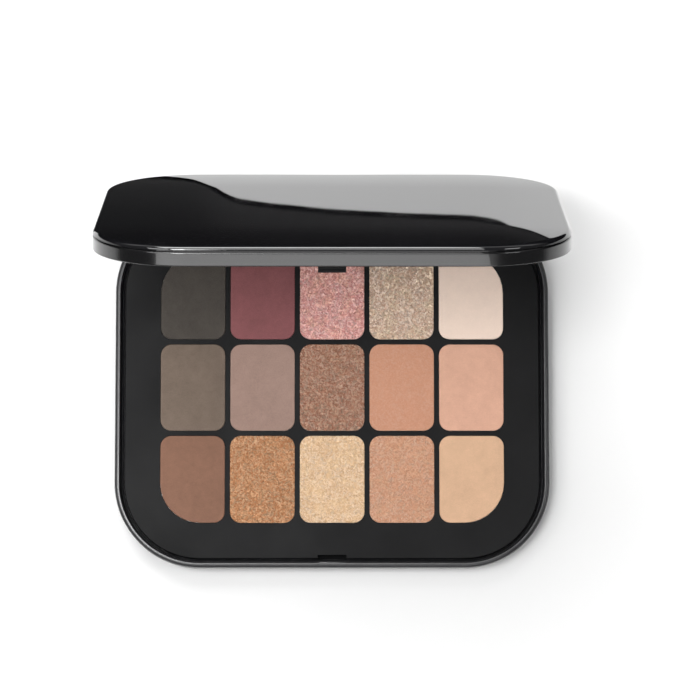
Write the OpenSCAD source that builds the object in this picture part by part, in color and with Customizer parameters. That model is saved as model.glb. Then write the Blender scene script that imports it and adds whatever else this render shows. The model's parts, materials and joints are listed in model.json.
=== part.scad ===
// Eyeshadow palette: a rounded rectangular compact with fifteen pressed powders in metal pans,
// and a lid with a mirror on a pinned barrel hinge.
// Origin: centre of the underside. +X to the right, +Y towards the hinge, +Z up. Millimetres.

/* [Pans and powders] */
// Width of a pan, outside
pan_w = 16.6; // [14:0.1:24]
// Depth of a pan from front to back, outside
pan_d = 22.4; // [16:0.1:30]
// Height of a pan
pan_h = 2.9; // [2:0.1:5]
// Sheet thickness of a pan
pan_sheet = 0.3; // [0.2:0.05:0.5]
// Corner radius of a pan, outside
pan_corner_r = 2.8; // [1.5:0.1:4]
// Distance between two neighbouring pans
pan_gap = 1.4; // [1:0.1:3]
// Play between a pan and its well, on each side
pan_clear = 0.1; // [0.05:0.05:0.2]
// How far a pan's edge lies below the deck
pan_sink = 0.25; // [0.1:0.05:0.8]
// How far a powder stands above its pan's edge
powder_rise = 0.1; // [0:0.05:0.3]
// Radius of the glue dot under a pan
glue_r = 5; // [3:0.5:6]
// Thickness of the glue dots
glue_t = 0.15; // [0.1:0.05:0.4]

/* [Base casing] */
// Distance from the outer pans to the outline
grid_margin = 11.7; // [10:0.1:16]
// Corner radius of the outline
corner_r = 22; // [18:0.5:24]
// Thickness of the floor
floor_t = 1.2; // [0.9:0.1:2]
// Thickness of the rim
rim_t = 1.3; // [1:0.1:2]
// Height of the rim above the deck
rim_rise = 2; // [1.6:0.1:3]
// Rounding of the rim's outer top edge
rim_edge_r = 0.9; // [0.3:0.1:0.9]
// Rounding of the casing's lower edge
foot_edge_r = 3.5; // [1.5:0.1:4]
// Width of the groove between the rim and the deck
groove_w = 1; // [0.6:0.1:1.6]
// Depth of the groove below the deck
groove_depth = 1.4; // [0.8:0.1:2]
// Radius of the locating posts
post_r = 0.9; // [0.6:0.05:1.1]
// Height of the locating posts above the floor
post_h = 2.4; // [1.5:0.1:3]
// Play round and above a locating post
post_clear = 0.1; // [0.05:0.05:0.2]

/* [Deck tray] */
// Thickness of the tray under the pans
well_floor_t = 0.9; // [0.6:0.1:1.5]
// Thickness of the deck
deck_t = 1; // [0.8:0.1:1.6]
// Thickness of the skirt and of the wall round the wells
tray_wall = 1.1; // [0.8:0.1:1.6]
// Rounding of the deck's outer edge
deck_edge_r = 0.3; // [0.1:0.05:0.5]
// Play between the tray and the casing
tray_clear = 0.1; // [0.05:0.05:0.2]

/* [Lid] */
// Opening angle of the lid as the palette stands
open_angle = 70; // [20:1:120]
// Gap between the rim and the closed lid
lid_gap = 0.3; // [0.2:0.05:0.6]
// How far the lid stands out past the base all round
lid_overhang = 1; // [0:0.1:1.5]
// Height of the frame's wall
frame_h = 3.5; // [3:0.1:5]
// Thickness of the frame's wall
frame_wall = 2; // [1.4:0.1:2.6]
// Thickness of the panel behind the mirror
panel_t = 1; // [0.7:0.1:1.3]
// Rounding of the frame's upper edge
frame_edge_r = 0.35; // [0.15:0.05:0.5]
// Thickness of the cover at its middle
cover_t = 1.2; // [0.9:0.1:1.4]
// Height of the cover's rim below its crown
cover_rim_h = 1.4; // [1.2:0.1:2]
// Rounding of the cover's edge
cover_edge_r = 1.1; // [0.4:0.1:1.1]
// Rise of the cover from its edge to its flat middle
crown = 0.6; // [0.2:0.1:1.2]
// Height of the seam between the cover and the frame
seam_h = 0.25; // [0.1:0.05:0.4]
// Depth of that seam
seam_depth = 0.35; // [0.15:0.05:0.6]
// Thickness of the rib that centres the cover in the frame
rib_t = 0.8; // [0.6:0.1:1.2]
// Play between the rib and the frame
rib_clear = 0.1; // [0.05:0.05:0.2]

/* [Mirror] */
// Distance from the lid's outline to the mirror
mirror_margin = 5.5; // [5:0.5:12]
// Thickness of the mirror
mirror_t = 1.2; // [1:0.1:1.5]
// Thickness of the adhesive tape
tape_t = 0.2; // [0.1:0.05:0.3]
// Distance from the mirror's edge to the tape's edge
tape_inset = 2; // [1:0.5:4]
// How far the mirror lies below the frame's face
mirror_sink = 0.2; // [0.1:0.05:0.4]
// Play round the mirror
mirror_clear = 0.2; // [0.1:0.05:0.4]

/* [Latch] */
// Width of the tab
tab_w = 6.6; // [4:0.1:12]
// Thickness of the tab
tab_t = 1.1; // [0.8:0.1:1.4]
// Length of the tab below the lid
tab_len = 2.6; // [2.4:0.1:3]
// Gap between the rim's inner face and the tab
tab_gap = 0.6; // [0.5:0.05:0.8]
// Play between the tab and its notch
notch_clear = 0.4; // [0.2:0.05:0.6]
// Depth of the notch below the deck
notch_depth = 2; // [1:0.1:2.4]
// Radius of the nub on the tab
nub_r = 0.3; // [0.2:0.05:0.35]
// Distance from the nub to the tab's end
nub_end = 0.2; // [0:0.1:0.6]
// How far the catch stands out from the rim
catch_rise = 0.2; // [0.1:0.05:0.2]
// Height of the catch
catch_h = 0.5; // [0.3:0.05:0.7]
// Gap between the closed lid's nub and the catch above it
catch_gap = 0.1; // [0.05:0.05:0.3]

/* [Hinge] */
// Distance between the middles of the two hinges
hinge_spacing = 44; // [30:1:46]
// Radius of the barrels
barrel_r = 2.3; // [1.6:0.05:2.6]
// Radius of the hinge pins
pin_r = 0.75; // [0.5:0.05:0.9]
// Radial play of a pin in the lid's knuckle
pin_clear = 0.06; // [0.03:0.01:0.1]
// Radial press of a pin in the base's lugs
pin_press = 0.01; // [0.005:0.005:0.02]
// How far a pin's end lies inside its lug
pin_end_inset = 0.2; // [0.1:0.1:0.6]
// Width of the lid's knuckle
knuckle_w = 9; // [6:0.5:10]
// Width of each lug on the base
lug_w = 4.5; // [3:0.5:5]
// Gap between a lug and a knuckle
knuckle_gap = 0.3; // [0.2:0.05:0.5]
// Gap between the barrels and the lid's back
barrel_gap = 1.2; // [0.3:0.1:1.5]
// How far the webs, the tab and the catch run into the walls that carry them
root = 0.6; // [0.4:0.1:0.9]
// Height of a web where it meets its wall, past the barrel
web_rise = 1; // [0.4:0.1:1.2]

/* [Underside label] */
// Width of the blank label
label_w = 40; // [20:1:60]
// Depth of the label from front to back
label_d = 16; // [8:1:24]
// Corner radius of the label
label_r = 2; // [1:0.5:4]
// Thickness of the label
label_t = 0.15; // [0.1:0.05:0.2]
// Depth of the recess that the label lies in
label_recess = 0.3; // [0.25:0.05:0.4]
// Play round the label
label_clear = 0.5; // [0.2:0.1:1]
// How far the label's middle lies behind the palette's middle, as a share of the palette's depth
label_share = 0.25; // [0.2:0.01:0.28]

/* [Hidden] */
$fn = 64;
// Cuts run this far past the faces that they open.
cut = 1;
// Flat strips that make up the crown's curve.
crown_steps = 8;

// Colours of the powders: the rows run from the back to the front, the columns from the left.
shades = [
    ["#4b4944", "#7d4b51", "#c08f8c", "#a99a88", "#dcc8b9"],
    ["#7e7268", "#a08a7e", "#a5846f", "#cf9a7d", "#dba88f"],
    ["#97705c", "#c29063", "#e0c092", "#cd9c80", "#dfb797"]
];
rows = len(shades);
columns = len(shades[0]);

// The pans' grid and the outline round it
pitch_x = pan_w + pan_gap;
pitch_y = pan_d + pan_gap;
grid_w = columns * pan_w + (columns - 1) * pan_gap;
grid_d = rows * pan_d + (rows - 1) * pan_gap;
body_w = grid_w + 2 * grid_margin;
body_d = grid_d + 2 * grid_margin;
outer_pan_r = min(max(corner_r - grid_margin, pan_corner_r), pan_w - pan_corner_r);
label_y = label_share * body_d;

// Heights in the base
well_z = floor_t + well_floor_t;
pan_z = well_z + glue_t;
powder_top_z = pan_z + pan_h + powder_rise;
deck_z = pan_z + pan_h + pan_sink;
ledge_z = deck_z - groove_depth;
rim_z = deck_z + rim_rise;

// The casing's inner step and the tray inside it, as distances in from the outline
step_in = rim_t + groove_w;
tray_in = step_in + tray_clear;
well_block = pan_clear + tray_wall;

// The hinge axis, at the parting plane behind the lid
lid_z = rim_z + lid_gap;
lid_w = body_w + 2 * lid_overhang;
lid_d = body_d + 2 * lid_overhang;
lid_r = corner_r + lid_overhang;
hinge_y = lid_d / 2 + barrel_gap + barrel_r;
hinge_z = rim_z + lid_gap / 2;
lug_x = knuckle_w / 2 + knuckle_gap + lug_w / 2;
pin_len = knuckle_w + 2 * (knuckle_gap + lug_w - pin_end_inset);

// Heights in the closed lid
tape_z = lid_z + mirror_sink + mirror_t;
panel_z = tape_z + tape_t;
panel_top_z = panel_z + panel_t;
cover_z = lid_z + frame_h;
cover_h = cover_rim_h + crown;
cover_ceiling_z = cover_z + cover_h - cover_t;
crown_span = lid_r - cover_edge_r;

// The latch
tab_front_y = -body_d / 2 + rim_t + tab_gap;
tab_z = lid_z - tab_len;
nub_z = tab_z + nub_end + nub_r;
catch_z = nub_z + nub_r + catch_gap;

function grid_name(piece, row, column) = str(piece, "_r", row, "c", column);
function grid_x(column) = (column - (columns + 1) / 2) * pitch_x;
function grid_y(row) = ((rows + 1) / 2 - row) * pitch_y;

// Corner radii of a pan, counter-clockwise from the back right corner: a corner of the whole grid
// follows the outline of the palette.
function pan_radii(row, column) = [
    row == 1 && column == columns ? outer_pan_r : pan_corner_r,
    row == 1 && column == 1 ? outer_pan_r : pan_corner_r,
    row == rows && column == 1 ? outer_pan_r : pan_corner_r,
    row == rows && column == columns ? outer_pan_r : pan_corner_r
];
function same_radii(r) = [r, r, r, r];
function grown_radii(radii, by) = [for (r = radii) r + by];

// The waste outside a quarter round of radius r, for a corner at the origin with its body in -x, -y
module corner_waste(r) {
    difference() {
        translate([-r, -r]) square(r + cut);
        translate([-r, -r]) circle(r);
    }
}

// A rectangle with its own radius at each corner, counter-clockwise from the back right one
module rounded_rect(w, d, radii) {
    difference() {
        square([w, d], center = true);
        for (i = [0:3])
            let (sx = i == 0 || i == 3 ? 1 : -1, sy = i < 2 ? 1 : -1)
                translate([sx * w / 2, sy * d / 2]) rotate(90 * i) corner_waste(radii[i]);
    }
}

// A plate of the palette's own outline, inset all round, from z0 to z1
module inset_plate(w, d, r, inset, z0, z1) {
    translate([0, 0, z0])
        linear_extrude(z1 - z0)
            rounded_rect(w - 2 * inset, d - 2 * inset, same_radii(r - inset));
}

// A body whose edge has the profile given as its child. The profile runs from x = 0, which is the
// corner's own centre, to x = r, which is the outline; the middle is filled from z = 0 to z = h.
module profiled_body(w, d, r, h) {
    for (i = [0:3])
        let (sx = i == 0 || i == 3 ? 1 : -1, sy = i < 2 ? 1 : -1)
            translate([sx * (w / 2 - r), sy * (d / 2 - r), 0])
                rotate([0, 0, 90 * i]) rotate_extrude(angle = 90) children();
    for (side = [0:1])
        rotate([0, 0, 180 * side]) {
            translate([w / 2 - r, d / 2 - r, 0])
                rotate([90, 0, 0]) linear_extrude(d - 2 * r) children();
            translate([-(w / 2 - r), d / 2 - r, 0])
                rotate([90, 0, 90]) linear_extrude(w - 2 * r) children();
        }
    translate([-(w / 2 - r), -(d / 2 - r), 0]) cube([w - 2 * r, d - 2 * r, h]);
}

// A profile for profiled_body: a plain edge of height h, rounded below and above
module edge_profile(r, h, low_r, top_r) {
    difference() {
        square([r, h]);
        if (low_r > 0) translate([r, 0]) rotate(-90) corner_waste(low_r);
        if (top_r > 0) translate([r, h]) corner_waste(top_r);
    }
}

// The cover's profile: a rim, a rounded edge and a parabola that rises to the flat middle
module crown_profile() {
    difference() {
        polygon(concat(
            [[0, 0]],
            [for (i = [0:crown_steps])
                [crown_span * i / crown_steps, cover_h - crown * pow(i / crown_steps, 2)]],
            [[lid_r, cover_rim_h], [lid_r, 0]]
        ));
        translate([lid_r, cover_rim_h]) corner_waste(cover_edge_r);
        translate([lid_r - seam_depth, -cut]) square([seam_depth + cut, seam_h + cut]);
    }
}

// Puts children along X at both hinges
module at_hinges() {
    for (side = [-1, 1]) translate([side * hinge_spacing / 2, 0, 0]) children();
}

// A cylinder along X on the hinge axis, centred at x
module on_hinge_axis(r, length, x = 0) {
    translate([x - length / 2, hinge_y, hinge_z]) rotate([0, 90, 0]) cylinder(r = r, h = length);
}

// A web of width w, centred at x, with the side view given as [y, z] points
module hinge_web(w, x, points) {
    translate([x - w / 2, 0, 0]) rotate([90, 0, 90]) linear_extrude(w) polygon(points);
}

// Turns the closed lid up to the angle that it stands at
module opened() {
    translate([0, hinge_y, hinge_z])
        rotate([-open_angle, 0, 0])
            translate([0, -hinge_y, -hinge_z]) children();
}

module base_lug(x) {
    wall_y = body_d / 2 - root;
    low_z = hinge_z - barrel_r;
    difference() {
        union() {
            on_hinge_axis(barrel_r, lug_w, x);
            hinge_web(lug_w, x, [
                [wall_y, low_z - web_rise], [hinge_y, low_z], [hinge_y, rim_z], [wall_y, rim_z]
            ]);
        }
        on_hinge_axis(pin_r - pin_press, lug_w + 2 * cut, x);
    }
}

module lid_knuckle() {
    wall_y = lid_d / 2 - root;
    high_z = hinge_z + barrel_r;
    difference() {
        union() {
            on_hinge_axis(barrel_r, knuckle_w);
            hinge_web(knuckle_w, 0, [
                [wall_y, lid_z], [hinge_y, lid_z], [hinge_y, high_z], [wall_y, high_z + web_rise]
            ]);
        }
        on_hinge_axis(pin_r + pin_clear, knuckle_w + 2 * cut);
    }
}

// Bottom casing: floor, wall with a step under the groove, posts, hinge lugs and catch
module base_shell() {
    color("#161618") {
        difference() {
            profiled_body(body_w, body_d, corner_r, rim_z)
                edge_profile(corner_r, rim_z, foot_edge_r, rim_edge_r);
            inset_plate(body_w, body_d, corner_r, step_in, floor_t, rim_z + cut);
            inset_plate(body_w, body_d, corner_r, rim_t, ledge_z, rim_z + cut);
            translate([0, label_y, -cut])
                linear_extrude(cut + label_recess)
                    rounded_rect(label_w + 2 * label_clear, label_d + 2 * label_clear,
                                 same_radii(label_r + label_clear));
        }
        locating_posts(post_r, floor_t, floor_t + post_h);
        at_hinges() {
            base_lug(-lug_x);
            base_lug(lug_x);
        }
        translate([-tab_w / 2, -body_d / 2 + rim_t - root, catch_z])
            cube([tab_w, root + catch_rise, catch_h]);
    }
}

// Posts where four pans meet, or the room for them, from z0 to z1
module locating_posts(r, z0, z1) {
    for (row = [1:rows - 1], column = [1:columns - 1])
        translate([grid_x(column) + pitch_x / 2, grid_y(row) - pitch_y / 2, z0])
            cylinder(r = r, h = z1 - z0);
}

// Matt tray: deck with a well for each pan, and a skirt that stands on the casing's floor
module deck_tray() {
    tray_w = body_w - 2 * tray_in;
    tray_d = body_d - 2 * tray_in;
    tray_r = corner_r - tray_in;
    notch_back_y = tab_front_y + tab_t + notch_clear;
    color("#2c2c2d")
        difference() {
            translate([0, 0, floor_t])
                profiled_body(tray_w, tray_d, tray_r, deck_z - floor_t)
                    edge_profile(tray_r, deck_z - floor_t, 0, deck_edge_r);
            difference() {
                inset_plate(tray_w, tray_d, tray_r, tray_wall, floor_t - cut, deck_z - deck_t);
                translate([0, 0, -cut])
                    linear_extrude(deck_z + 2 * cut)
                        rounded_rect(grid_w + 2 * well_block, grid_d + 2 * well_block,
                                     same_radii(outer_pan_r + well_block));
            }
            for (row = [1:rows], column = [1:columns])
                translate([0, 0, well_z]) pan_block(row, column, pan_clear, deck_z);
            locating_posts(post_r + post_clear, floor_t - cut, floor_t + post_h + post_clear);
            translate([-tab_w / 2 - notch_clear, -body_d / 2, deck_z - notch_depth])
                cube([tab_w + 2 * notch_clear, notch_back_y + body_d / 2, notch_depth + cut]);
        }
}

// The outline of one pan, grown by a margin, as a block of height h on z = 0
module pan_block(row, column, grow, h) {
    translate([grid_x(column), grid_y(row), 0])
        linear_extrude(h)
            rounded_rect(pan_w + 2 * grow, pan_d + 2 * grow, grown_radii(pan_radii(row, column), grow));
}

// Pressed sheet pan
module pan(row, column) {
    color("#b9b6b2")
        translate([0, 0, pan_z])
            difference() {
                pan_block(row, column, 0, pan_h);
                translate([0, 0, pan_sheet]) pan_block(row, column, -pan_sheet, pan_h);
            }
}

// Pressed powder that fills its pan
module powder(row, column) {
    bottom_z = pan_z + pan_sheet;
    color(shades[row - 1][column - 1])
        translate([0, 0, bottom_z]) pan_block(row, column, -pan_sheet, powder_top_z - bottom_z);
}

// One dot of glue between each pan and its well
module pan_glue_dots() {
    color("#d8cfb4")
        for (row = [1:rows], column = [1:columns])
            translate([grid_x(column), grid_y(row), well_z]) cylinder(r = glue_r, h = glue_t);
}

// Steel pin: pressed into the lugs, free in the knuckle
module hinge_pin(side) {
    color("#9a9ca0") on_hinge_axis(pin_r, pin_len, side * hinge_spacing / 2);
}

module underside_label() {
    color("#3a3a3c")
        translate([0, label_y, label_recess - label_t])
            linear_extrude(label_t) rounded_rect(label_w, label_d, same_radii(label_r));
}

// Inner frame of the lid: wall, mirror panel, latch tab and hinge knuckles
module lid_frame() {
    color("#1c1c1e")
        opened() {
            difference() {
                translate([0, 0, lid_z])
                    profiled_body(lid_w, lid_d, lid_r, frame_h)
                        edge_profile(lid_r, frame_h, 0, frame_edge_r);
                inset_plate(lid_w, lid_d, lid_r, frame_wall, panel_top_z, cover_z + cut);
                inset_plate(lid_w, lid_d, lid_r, mirror_margin - mirror_clear, lid_z - cut, panel_z);
            }
            at_hinges() lid_knuckle();
            translate([-tab_w / 2, tab_front_y, tab_z]) cube([tab_w, tab_t, tab_len + root]);
            translate([-tab_w / 2, tab_front_y, nub_z])
                rotate([0, 90, 0]) cylinder(r = nub_r, h = tab_w);
        }
}

// Crowned top of the lid, centred in the frame by a rib
module lid_cover() {
    rib_in = frame_wall + rib_clear;
    color("#101012")
        opened()
            difference() {
                union() {
                    translate([0, 0, cover_z])
                        profiled_body(lid_w, lid_d, lid_r, cover_h) crown_profile();
                    inset_plate(lid_w, lid_d, lid_r, rib_in, panel_top_z + rib_clear,
                                cover_ceiling_z);
                }
                inset_plate(lid_w, lid_d, lid_r, rib_in + rib_t, panel_top_z - cut,
                            cover_ceiling_z);
            }
}

module mirror_glass() {
    color("#cfd6da")
        opened()
            inset_plate(lid_w, lid_d, lid_r, mirror_margin, lid_z + mirror_sink, tape_z);
}

module mirror_tape() {
    color("#8d8a80")
        opened()
            inset_plate(lid_w, lid_d, lid_r, mirror_margin + tape_inset, tape_z, panel_z);
}

base_shell();
deck_tray();
pan_glue_dots();
hinge_pin(-1);  // hinge_pin_left
hinge_pin(1);  // hinge_pin_right
underside_label();
lid_frame();
lid_cover();
mirror_glass();
mirror_tape();
for (row = [1:rows], column = [1:columns]) {
    pan(row, column);
    powder(row, column);
}
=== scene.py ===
import json
import math

import bmesh
import bpy
import numpy as np
from mathutils import Matrix, Vector


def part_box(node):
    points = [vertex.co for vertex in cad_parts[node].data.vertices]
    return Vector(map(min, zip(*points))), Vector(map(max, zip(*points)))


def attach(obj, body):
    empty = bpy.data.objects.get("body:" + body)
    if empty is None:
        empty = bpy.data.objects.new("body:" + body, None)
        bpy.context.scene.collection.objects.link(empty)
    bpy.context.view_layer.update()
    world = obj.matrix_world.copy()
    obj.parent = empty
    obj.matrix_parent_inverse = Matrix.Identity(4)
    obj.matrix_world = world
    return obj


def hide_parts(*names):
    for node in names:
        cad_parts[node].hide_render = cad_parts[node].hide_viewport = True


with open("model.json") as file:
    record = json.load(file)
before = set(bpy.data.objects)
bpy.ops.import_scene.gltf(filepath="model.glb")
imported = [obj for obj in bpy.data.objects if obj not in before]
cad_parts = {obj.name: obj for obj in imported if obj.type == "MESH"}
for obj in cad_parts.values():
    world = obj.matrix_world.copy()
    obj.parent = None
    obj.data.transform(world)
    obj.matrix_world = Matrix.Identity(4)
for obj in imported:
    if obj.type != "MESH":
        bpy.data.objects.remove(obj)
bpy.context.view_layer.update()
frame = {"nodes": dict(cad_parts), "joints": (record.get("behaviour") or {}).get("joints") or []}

bl_info = {
    "name": "Eyeshadow palette",
    "version": (1, 0, 0),
    "blender": (4, 5, 0),
    "location": "View3D > Sidebar > Palette",
    "description": "Dresses the fifteen-shade eyeshadow palette and lights it",
    "category": "Object",
}

MM = 0.001
PER_MM = 1000.0
HINGE = frame["joints"][0]
HINGE_PLACE = np.array(HINGE["pos_m"][1:])
ROWS, COLUMNS = 3, 5
GRID = [(row, column) for row in range(1, ROWS + 1) for column in range(1, COLUMNS + 1)]
ARC_STEPS = 6
CORNER_STEPS = 28
SHARP_ANGLE = math.radians(34)
WELD = 2e-7


def length(name, description, millimetres):
    """A length that the user can change, stored in metres."""
    return bpy.props.FloatProperty(
        name=name, description=description, default=millimetres * MM, min=0.0,
        unit="LENGTH", precision=5)


def share(name, description, value, top):
    """A plain number between nought and top."""
    return bpy.props.FloatProperty(
        name=name, description=description, default=value, min=0.0, max=top, subtype="FACTOR")


def tint(name, description, code):
    """A colour, given as a hex code of the screen and stored as linear light."""
    return bpy.props.FloatVectorProperty(
        name=name, description=description, default=linear(code), size=3, min=0.0, max=1.0,
        subtype="COLOR")


def linear(code):
    """Linear light of a screen colour: each channel through the screen's own curve."""
    screen = np.array([int(code[i:i + 2], 16) for i in (1, 3, 5)]) / 255
    light = np.where(screen <= 0.04045, screen / 12.92, ((screen + 0.055) / 1.055) ** 2.4)
    return tuple(float(v) for v in light)


# ---------------------------------------------------------------- sizes and colours


class CasingSizes(bpy.types.PropertyGroup):
    """Sizes of the bottom casing and of the hinge."""
    corner: length("Corner", "Corner radius of the outline", 22)
    rim: length("Rim", "Thickness of the rim", 1.3)
    rim_rise: length("Rim rise", "Height of the rim above the deck", 2)
    rim_round: length("Rim rounding", "Rounding of the rim's outer edge", 0.9)
    foot_round: length("Foot rounding", "Rounding of the casing's lower edge", 3.5)
    groove: length("Groove", "Width of the groove between the rim and the deck", 1)
    groove_depth: length("Groove depth", "Depth of the groove below the deck", 1.4)
    floor: length("Floor", "Thickness of the floor", 1.2)
    post: length("Post", "Radius of a locating post", 0.9)
    post_height: length("Post height", "Height of a locating post above the floor", 2.4)
    barrel: length("Barrel", "Radius of the hinge barrels", 2.3)
    pin_press: length("Pin bore", "Radius of the lugs' bore round a pressed pin", 0.755)
    pin_play: length("Pin play", "Radius of the knuckles' bore round a free pin", 0.81)
    hinge_spacing: length("Hinge spacing", "Distance between the two hinges", 44)
    knuckle: length("Knuckle", "Width of the lid's knuckle", 9)
    knuckle_gap: length("Knuckle gap", "Gap between a knuckle and a lug", 0.3)
    lug: length("Lug", "Width of a lug on the casing", 4.5)
    label_recess: length("Label recess", "Depth of the recess under the label", 0.3)
    label_play: length("Label play", "Play round the label", 0.5)
    label_corner: length("Label corner", "Corner radius of the recess", 2.5)
    web_root: length("Web root", "How far a hinge's web reaches into the wall", 0.6)
    web_slant: length("Web slant", "Rise of a web from the barrel to the wall", 1)
    soft_edge: length("Soft edge", "Rounding of the small moulded edges", 0.12)


class LidSizes(bpy.types.PropertyGroup):
    """Sizes of the lid, along its own closed position."""
    gap: length("Lid gap", "Gap between the rim and the closed lid", 0.3)
    overhang: length("Overhang", "How far the lid stands out past the casing", 1)
    frame_height: length("Frame height", "Height of the frame's wall", 3.5)
    frame_wall: length("Frame wall", "Thickness of the frame's wall", 2)
    frame_round: length("Frame rounding", "Rounding of the frame's upper edge", 0.5)
    lower_round: length("Lower rounding", "Rounding of the frame's lower edge", 0.3)
    face_round: length("Face rounding", "Rounding of the edge round the mirror", 0.15)
    inner_round: length("Inner rounding", "Rounding of the lid's hidden edges", 0.1)
    panel: length("Panel", "Thickness of the panel behind the mirror", 1)
    cover: length("Cover", "Thickness of the cover at its middle", 1.2)
    cover_rim: length("Cover rim", "Height of the cover's rim below its crown", 1.4)
    cover_round: length("Cover rounding", "Rounding of the cover's edge", 1.1)
    crown: length("Crown", "Rise of the cover from its edge to its flat middle", 0.6)
    seam: length("Seam", "Height of the seam between cover and frame", 0.25)
    seam_depth: length("Seam depth", "Depth of that seam", 0.35)
    seam_round: length("Seam rounding", "Rounding inside that seam", 0.05)
    rib: length("Rib", "Thickness of the rib under the cover", 0.8)
    rib_play: length("Rib play", "Play between the rib and the frame", 0.1)
    mirror_margin: length("Mirror margin", "Distance from the outline to the mirror", 5.5)
    mirror: length("Mirror", "Thickness of the mirror", 1.2)
    mirror_sink: length("Mirror sink", "How far the mirror lies below the frame's face", 0.2)
    mirror_play: length("Mirror play", "Play round the mirror", 0.2)
    mirror_edge: length("Mirror edge", "Width of the mirror's ground edge", 0.25)
    tape: length("Tape", "Thickness of the tape behind the mirror", 0.2)
    tab: length("Tab", "Width of the latch tab", 6.6)
    tab_thick: length("Tab thickness", "Thickness of the latch tab", 1.1)
    tab_drop: length("Tab drop", "Length of the tab below the lid", 2)
    tab_gap: length("Tab gap", "Gap between the rim and the tab", 0.6)
    tab_root: length("Tab root", "How far the tab reaches into the lid", 0.6)
    tab_round: length("Tab rounding", "Rounding of the tab's long edges", 0.12)
    tab_side: length("Tab side", "Rounding of the tab's sides", 0.15)
    nub: length("Nub", "Radius of the nub on the tab", 0.3)
    nub_end: length("Nub end", "Distance from the nub to the tab's end", 0.2)
    catch_rise: length("Catch rise", "How far the catch stands out from the rim", 0.2)
    catch: length("Catch", "Height of the catch", 0.5)
    catch_play: length("Catch play", "Gap between the closed lid's nub and the catch", 0.1)
    catch_root: length("Catch root", "How far the catch reaches into the rim", 0.3)
    catch_round: length("Catch rounding", "Rounding of the catch", 0.08)


class PowderSizes(bpy.types.PropertyGroup):
    """Sizes of the pressed powders and their grain."""
    pan_corner: length("Pan corner", "Corner radius of a pan", 2.8)
    pan_sheet: length("Pan sheet", "Sheet thickness of a pan", 0.3)
    grid_corner: length("Grid corner", "Corner radius of the whole grid of pans", 10.3)
    lip_reach: length("Lip reach", "How far the powder's edge covers the pan's rim", 0.03)
    edge_round: length("Edge rounding", "Width of the powder's pressed edge", 0.5)
    edge_rise: length("Edge rise", "Height of that edge's foot above the pan", 0.03)
    face_rise: length("Face rise", "Height of the face above the CAD's powder", 0.06)
    play: length("Play", "Play between the powder and its pan", 0.01)
    press_wave: length("Press wave", "Height of the soft waves in the pressed face", 0.012)
    flake: length("Flake", "Size of a glitter flake", 0.35)


class Finishes(bpy.types.PropertyGroup):
    """Colours of the hard parts."""
    casing: tint("Casing", "Satin black moulding", "#242426")
    deck: tint("Deck", "Matt black deck", "#0d0d0e")
    lid: tint("Lid", "Black lacquer of the lid", "#101012")
    inner: tint("Inner frame", "Black of the lid's inner frame", "#070708")
    pan: tint("Pan", "Tinned sheet of the pans", "#b9b6b2")
    pin: tint("Pin", "Steel of the hinge pins", "#9a9ca0")
    mirror: tint("Mirror", "Silver of the mirror", "#eef2f3")
    tape: tint("Tape", "Adhesive tape", "#8d8a80")
    glue: tint("Glue", "Dots of glue", "#d8cfb4")
    label: tint("Label", "Blank label", "#3a3a3c")


class Shades(bpy.types.PropertyGroup):
    """Colours of the powders: rows from the back, columns from the left."""
    r1c1: tint("Charcoal", "Matt charcoal olive", "#46413c")
    r1c2: tint("Burgundy", "Matt burgundy", "#825052")
    r1c3: tint("Pink", "Pink glitter with gold specks", "#d7a5a1")
    r1c4: tint("Champagne", "Champagne glitter", "#ceb5a4")
    r1c5: tint("Ivory", "Matt ivory", "#efd8c8")
    r2c1: tint("Taupe grey", "Matt grey brown", "#6d5f54")
    r2c2: tint("Mauve taupe", "Matt mauve taupe", "#977d72")
    r2c3: tint("Bronze", "Bronze glitter", "#95715d")
    r2c4: tint("Salmon", "Satin salmon", "#c19f8b")
    r2c5: tint("Peach", "Satin peach", "#d0a28b")
    r3c1: tint("Cocoa", "Matt cocoa brown", "#7f5d4c")
    r3c2: tint("Copper gold", "Copper gold glitter", "#aa825e")
    r3c3: tint("Pale gold", "Pale gold glitter", "#d2b99d")
    r3c4: tint("Rose gold", "Rose gold shimmer", "#c19e87")
    r3c5: tint("Tan", "Matt tan", "#cfa98a")


class StageSettings(bpy.types.PropertyGroup):
    """Strengths of the studio's lights."""
    world: share("World", "Strength of the soft light from all round", 0.14, 2.0)
    overhead: share("Overhead", "Radiance of the softbox above, a little to the left", 22.0, 40.0)
    zenith: share("Zenith", "Radiance of the small softbox straight above", 3.0, 40.0)
    left: share("Left", "Radiance of the softbox at the left", 4.4, 40.0)
    front: share("Front", "Radiance of the long softbox over the front", 2.9, 40.0)
    back: share("Back", "Radiance of the softbox behind the lid", 8.5, 40.0)
    right: share("Right", "Radiance of the softbox at the right", 4.4, 40.0)


# Powders that aren't plain matt: how much satin or glitter each has, how far its brightness varies,
# partly as painted glint on the glitter, and the colour of its specks where it has flakes.
GLITTER = {
    "r1c3": (1.0, 0.86, "#c08a5a"), "r1c4": (1.0, 0.82, "#ab9c6c"), "r2c3": (1.0, 0.87, "#86664a"),
    "r3c2": (1.0, 0.74, "#a9764a"), "r3c3": (0.8, 0.62, "#cfae78"), "r3c4": (0.8, 0.5, "#b88e62"),
    "r2c4": (0.3, 0.26, "#c98c6c"), "r2c5": (0.2, 1.2, None), "r3c5": (0.1, 1.2, None),
}

# Softboxes: bearing from the right and height, in degrees, and width and depth, in metres.
SOFTBOXES = {
    "overhead": (192, 77.5, 0.27, 0.24), "zenith": (90, 83, 0.34, 0.34),
    "left": (180, 57, 0.4, 0.4), "front": (258, 57, 1.15, 0.3),
    "back": (106, 50, 0.6, 0.4), "right": (0, 50, 0.24, 0.3),
}


# ---------------------------------------------------------------- shapes


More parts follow.
